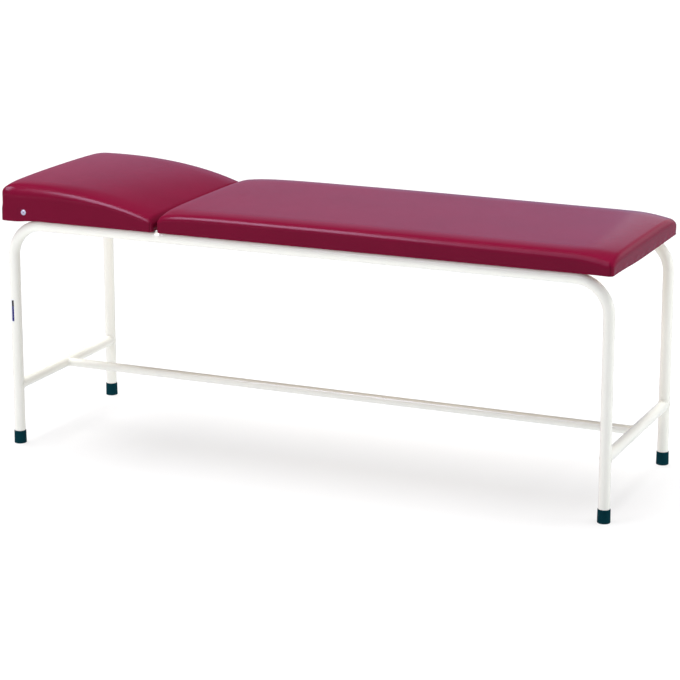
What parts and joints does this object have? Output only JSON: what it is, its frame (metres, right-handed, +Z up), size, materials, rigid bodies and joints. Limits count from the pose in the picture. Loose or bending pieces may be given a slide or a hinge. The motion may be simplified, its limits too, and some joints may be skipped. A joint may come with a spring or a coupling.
{
  "type": "examination couch",
  "caption": "Padded examination couch with a tilting head section on a bent steel tube frame with rubber feet.",
  "frame": {"origin": "on the floor under the middle of the couch (bottom centre of the bounding box)", "axes": "+X along the couch toward the foot end, +Y across the couch toward its rear side, +Z up"},
  "size_m": [1.8422, 0.6026, 0.781],
  "materials": {
    "cream_enamel": "gloss cream enamel",
    "teal_rubber": "satin dark teal rubber",
    "zinc_steel": "zinc plated",
    "bright_rod": "bright zinc plated rod",
    "red_vinyl": "satin wine red upholstery vinyl",
    "plywood": "raw plywood",
    "foam": "open-cell foam",
    "nickel": "nickel plated",
    "label_paper": "printed film label"
  },
  "bodies": {
    "frame": {"centre_stretcher": "cream_enamel", "cross_rail_foot": "cream_enamel", "cross_rail_head": "cream_enamel", "cross_rail_hinge": "cream_enamel", "cross_rail_middle": "cream_enamel", "end_stretcher_foot": "cream_enamel", "end_stretcher_head": "cream_enamel", "ferrule_foot_front": "teal_rubber", "ferrule_foot_rear": "teal_rubber", "ferrule_head_front": "teal_rubber", "ferrule_head_rear": "teal_rubber", "hinge_lug_front": "cream_enamel", "hinge_lug_rear": "cream_enamel", "hinge_pin_front": "zinc_steel", "hinge_pin_rear": "zinc_steel", "leg_label": "label_paper", "main_board": "plywood", "main_cover": "red_vinyl", "main_cover_staples": "zinc_steel", "main_foam": "foam", "main_pad_screws": "zinc_steel", "rack_front": "cream_enamel", "rack_rear": "cream_enamel", "side_frame_front": "cream_enamel", "side_frame_rear": "cream_enamel"},
    "head_section": {"air_vent_front": "nickel", "air_vent_rear": "nickel", "head_board": "plywood", "head_cover": "red_vinyl", "head_cover_staples": "zinc_steel", "head_foam": "foam", "hinge_bracket_front": "zinc_steel", "hinge_bracket_rear": "zinc_steel", "hinge_bracket_screws": "zinc_steel", "stay_lug_front": "zinc_steel", "stay_lug_rear": "zinc_steel", "stay_lug_screws": "zinc_steel"},
    "support_stay": {"stay_clip_front": "zinc_steel", "stay_clip_rear": "zinc_steel", "support_stay": "bright_rod"}
  },
  "joints": [
    {"name": "head_tilt", "type": "hinge", "parent": "frame", "child": "head_section", "pos_m": [-0.43, 0, 0.698], "axis": [0, 1, 0], "range_deg": [0, 45]},
    {"name": "stay_swing", "type": "hinge", "parent": "head_section", "child": "support_stay", "pos_m": [-0.59, 0, 0.665], "axis": [0, 1, 0], "range_deg": [-90, 0]}
  ],
  "couplings": [
    {"joint": "stay_swing", "follows": "head_tilt", "ratio": -2}
  ]
}
